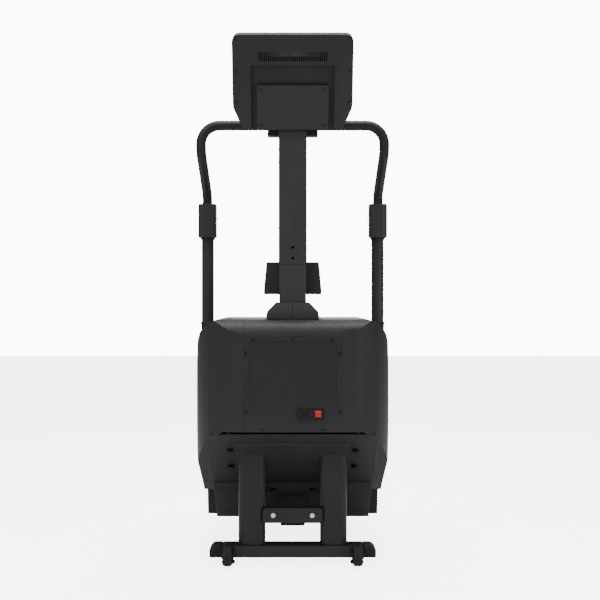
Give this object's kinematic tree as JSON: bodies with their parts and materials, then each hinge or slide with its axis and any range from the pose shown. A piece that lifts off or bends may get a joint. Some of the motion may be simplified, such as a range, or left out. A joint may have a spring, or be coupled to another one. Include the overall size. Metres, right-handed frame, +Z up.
{
  "type": "stair climber",
  "caption": "Compact revolving stair climber with moving steps on a chain loop, console mast, handlebar and enclosed drive on a stabilizer base.",
  "frame": {"origin": "on the floor, at the centre of the bounding box", "axes": "+X to the machine right seen from its front, +Y towards the user who boards the steps, +Z up"},
  "size_m": [0.692, 1.0388, 1.8366],
  "materials": {
    "frame_paint": "satin powder coat",
    "cap_plastic": "textured",
    "plug_white": "smooth",
    "bolt_black": "black oxide",
    "inner_steel": "satin",
    "skirt_plastic": "textured",
    "shell_plastic": "fine moulded texture",
    "inlet_plastic": "smooth",
    "rocker_red": "gloss",
    "button_green": "gloss",
    "magnet_steel": "satin",
    "mast_paint": "satin powder coat",
    "bezel_plastic": "satin",
    "screen_glass": "gloss",
    "grip_rubber": "fine texture",
    "wheel_rubber": "matte",
    "foot_rubber": "matte",
    "shaft_steel": "satin",
    "flywheel_iron": "machined",
    "belt_rubber": "matte",
    "step_plastic": "textured"
  },
  "bodies": {
    "frame": {"front_stabilizer": "frame_paint", "stabilizer_caps": "cap_plastic", "front_legs": "frame_paint", "leg_flange": "frame_paint", "leg_brace": "frame_paint", "brace_plugs": "plug_white", "underside_plate": "frame_paint", "plate_bolts": "bolt_black", "belly_pan": "frame_paint", "bottom_crossbeam": "frame_paint", "spine_strut": "frame_paint", "rear_base": "frame_paint", "boarding_step": "cap_plastic", "side_frames": "inner_steel", "shaft_bearings": "inner_steel", "stair_skirts": "skirt_plastic", "front_cover": "shell_plastic", "top_cover": "shell_plastic", "left_side_shell": "shell_plastic", "right_side_shell": "shell_plastic", "casing_screws": "bolt_black", "power_plate": "inlet_plastic", "control_box": "inlet_plastic", "brake_magnet": "magnet_steel", "upper_crossmember": "inner_steel", "mast_lower_post": "mast_paint", "mast_upper_tube": "mast_paint", "mast_boot": "cap_plastic", "accessory_tray": "shell_plastic", "console_back": "shell_plastic", "console_bezel": "bezel_plastic", "console_screen": "screen_glass", "hub_cover": "shell_plastic", "console_bracket": "bezel_plastic", "handlebar": "grip_rubber", "handlebar_clamp": "mast_paint", "grip_sleeves": "mast_paint", "handrail_posts": "mast_paint", "post_brackets": "inner_steel", "wheel_forks": "cap_plastic", "drive_belt": "belt_rubber", "step_chains": "shaft_steel"},
    "upper_shaft_body": {"upper_shaft": "shaft_steel"},
    "lower_shaft_body": {"lower_shaft": "shaft_steel"},
    "flywheel_body": {"flywheel": "flywheel_iron"},
    "step_1_body": {"step_1": "step_plastic"},
    "step_2_body": {"step_2": "step_plastic"},
    "step_3_body": {"step_3": "step_plastic"},
    "step_4_body": {"step_4": "step_plastic"},
    "step_5_body": {"step_5": "step_plastic"},
    "step_6_body": {"step_6": "step_plastic"},
    "power_rocker_body": {"power_rocker": "rocker_red"},
    "left_wheel_body": {"left_wheel": "wheel_rubber"},
    "right_wheel_body": {"right_wheel": "wheel_rubber"},
    "front_left_foot_body": {"front_left_foot": "foot_rubber"},
    "front_right_foot_body": {"front_right_foot": "foot_rubber"},
    "rear_left_foot_body": {"rear_left_foot": "foot_rubber"},
    "rear_right_foot_body": {"rear_right_foot": "foot_rubber"},
    "start_button_body": {"start_button": "button_green"},
    "stop_button_body": {"stop_button": "rocker_red"}
  },
  "joints": [
    {"name": "stair_drive", "type": "hinge", "parent": "frame", "child": "upper_shaft_body", "pos_m": [0, -0.25002, 0.61939], "axis": [-1, 0, 0], "range_deg": [0, 180]},
    {"name": "lower_shaft_spin", "type": "hinge", "parent": "frame", "child": "lower_shaft_body", "pos_m": [0, 0.133, 0.298], "axis": [-1, 0, 0], "range_deg": [0, 181]},
    {"name": "flywheel_spin", "type": "hinge", "parent": "frame", "child": "flywheel_body", "pos_m": [0, -0.058, 0.459], "axis": [-1, 0, 0], "range_deg": [0, 615]},
    {"name": "step_1_travel", "type": "slide", "parent": "frame", "child": "step_1_body", "axis": [0, 0.766, -0.6428], "range_m": [0, 0.2505]},
    {"name": "step_2_travel", "type": "slide", "parent": "frame", "child": "step_2_body", "axis": [0, 0.766, -0.6428], "range_m": [0, 0.2505]},
    {"name": "step_3_turn", "type": "hinge", "parent": "frame", "child": "step_3_body", "pos_m": [0, 0.133, 0.298], "axis": [-1, 0, 0], "range_deg": [0, 181]},
    {"name": "step_4_travel", "type": "slide", "parent": "frame", "child": "step_4_body", "axis": [0, -0.766, 0.6428], "range_m": [0, 0.2505]},
    {"name": "step_5_travel", "type": "slide", "parent": "frame", "child": "step_5_body", "axis": [0, -0.766, 0.6428], "range_m": [0, 0.2505]},
    {"name": "step_6_turn", "type": "hinge", "parent": "frame", "child": "step_6_body", "pos_m": [0, -0.25002, 0.61939], "axis": [-1, 0, 0], "range_deg": [0, 181]},
    {"name": "power_switch", "type": "hinge", "parent": "frame", "child": "power_rocker_body", "pos_m": [0.0865, -0.466, 0.538], "axis": [1, 0, 0], "range_deg": [0, 14]},
    {"name": "left_wheel_spin", "type": "hinge", "parent": "frame", "child": "left_wheel_body", "pos_m": [-0.2245, -0.412, 0.044], "axis": [1, 0, 0], "continuous": true},
    {"name": "right_wheel_spin", "type": "hinge", "parent": "frame", "child": "right_wheel_body", "pos_m": [0.2245, -0.412, 0.044], "axis": [1, 0, 0], "continuous": true},
    {"name": "front_left_foot_turn", "type": "hinge", "parent": "frame", "child": "front_left_foot_body", "pos_m": [-0.226, -0.33, 0.02], "axis": [0, 0, 1], "continuous": true},
    {"name": "front_right_foot_turn", "type": "hinge", "parent": "frame", "child": "front_right_foot_body", "pos_m": [0.226, -0.33, 0.02], "axis": [0, 0, 1], "continuous": true},
    {"name": "rear_left_foot_turn", "type": "hinge", "parent": "frame", "child": "rear_left_foot_body", "pos_m": [-0.17, 0.35, 0.02], "axis": [0, 0, 1], "continuous": true},
    {"name": "rear_right_foot_turn", "type": "hinge", "parent": "frame", "child": "rear_right_foot_body", "pos_m": [0.17, 0.35, 0.02], "axis": [0, 0, 1], "continuous": true},
    {"name": "start_press", "type": "slide", "parent": "frame", "child": "start_button_body", "axis": [0, -0.9397, -0.342], "range_m": [0, 0.0025], "stiffness_N_per_m": 600},
    {"name": "stop_press", "type": "slide", "parent": "frame", "child": "stop_button_body", "axis": [0, -0.9397, -0.342], "range_m": [0, 0.0025], "stiffness_N_per_m": 600}
  ],
  "couplings": [
    {"joint": "lower_shaft_spin", "follows": "stair_drive", "ratio": 1},
    {"joint": "flywheel_spin", "follows": "stair_drive", "ratio": 3.4},
    {"joint": "step_1_travel", "follows": "stair_drive", "m_per_rad": 0.079577},
    {"joint": "step_2_travel", "follows": "stair_drive", "m_per_rad": 0.079577},
    {"joint": "step_3_turn", "follows": "stair_drive", "ratio": 1},
    {"joint": "step_4_travel", "follows": "stair_drive", "m_per_rad": 0.079577},
    {"joint": "step_5_travel", "follows": "stair_drive", "m_per_rad": 0.079577},
    {"joint": "step_6_turn", "follows": "stair_drive", "ratio": 1}
  ]
}
